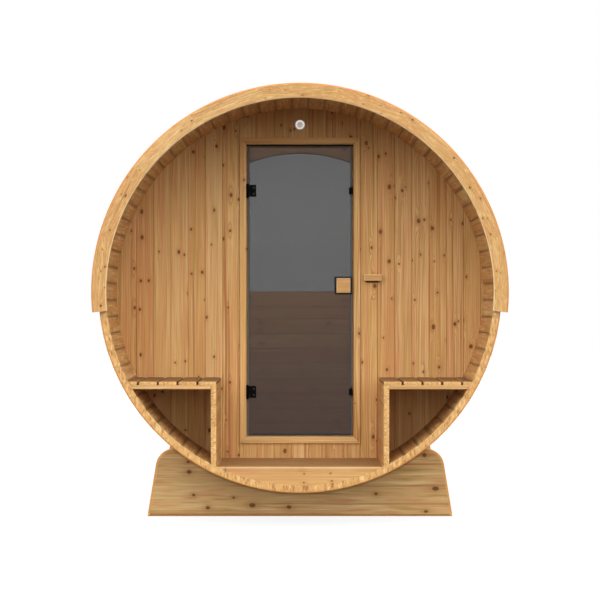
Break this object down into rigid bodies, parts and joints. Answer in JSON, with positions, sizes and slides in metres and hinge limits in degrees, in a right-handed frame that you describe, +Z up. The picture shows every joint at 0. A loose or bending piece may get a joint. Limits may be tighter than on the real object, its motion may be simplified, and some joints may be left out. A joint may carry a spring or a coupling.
{
  "type": "barrel sauna",
  "caption": "Round wooden sauna cabin of lengthwise staves on two cradles, with an open porch, side benches, a hinged glass door and a half-moon rear window.",
  "frame": {"origin": "on the ground under the middle of the barrel", "axes": "+Z up, +Y along the barrel from the porch to the rear window, +X to the right of someone facing the door"},
  "size_m": [2.0696, 2.3, 2.2098],
  "materials": {
    "stave_wood": "bare planed pine, faint gloss, fine knots",
    "fascia_wood": "bare planed pine, sawn to a curve",
    "roof_wood": "bare planed pine boards",
    "wall_wood": "bare tongued and grooved pine, many small knots",
    "frame_wood": "bare planed pine",
    "bench_wood": "bare planed pine slats",
    "floor_wood": "bare planed pine boards",
    "joist_wood": "bare sawn pine",
    "cradle_wood": "bare sawn pine, large knots, eased lower edge",
    "handle_wood": "bare planed pine",
    "door_glass": "grey tinted toughened glass",
    "window_glass": "clear toughened glass",
    "hinge_black": "satin black coating",
    "plate_dark": "satin blue-black coating",
    "band_steel": "stainless strip, brushed along its length",
    "bolt_steel": "stainless bolts",
    "lamp_white": "white moulded ring",
    "lamp_lens": "frosted lens"
  },
  "bodies": {
    "barrel": {"staves_right": "stave_wood", "staves_upper_right": "stave_wood", "staves_crown": "stave_wood", "staves_upper_left": "stave_wood", "staves_left": "stave_wood", "staves_lower_left": "stave_wood", "staves_keel": "stave_wood", "staves_lower_right": "stave_wood", "steel_bands": "band_steel", "band_bolts": "bolt_steel", "roof_battens": "roof_wood", "roof_boards_left": "roof_wood", "roof_boards_right": "roof_wood", "fascia_front": "fascia_wood", "fascia_rear": "fascia_wood", "front_wall_left": "wall_wood", "front_wall_right": "wall_wood", "front_wall_over_door": "wall_wood", "front_wall_under_door": "wall_wood", "door_frame": "frame_wood", "hinge_leaves": "hinge_black", "door_magnets": "hinge_black", "lamp_ring": "lamp_white", "lamp_lens": "lamp_lens", "hand_grip": "handle_wood", "bench_slats_left": "bench_wood", "bench_slats_right": "bench_wood", "bench_bearers": "bench_wood", "bench_panel_left": "bench_wood", "bench_panel_right": "bench_wood", "porch_floor": "floor_wood", "cabin_floor": "floor_wood", "porch_joists": "joist_wood", "cabin_joists": "joist_wood", "rear_wall_boards": "wall_wood", "window_rail": "frame_wood", "window_rim": "frame_wood", "window_glass": "window_glass", "cradle_front": "cradle_wood", "cradle_rear": "cradle_wood"},
    "door": {"door_glass": "door_glass", "hinge_clamps": "hinge_black", "door_catches": "hinge_black", "pull_plate": "plate_dark", "pull_outside": "handle_wood", "pull_inside": "handle_wood"}
  },
  "joints": [
    {"name": "door_hinge", "type": "hinge", "parent": "barrel", "child": "door", "pos_m": [-0.2729, -0.565, 1.175], "axis": [0, 0, -1], "range_deg": [0, 100]}
  ]
}
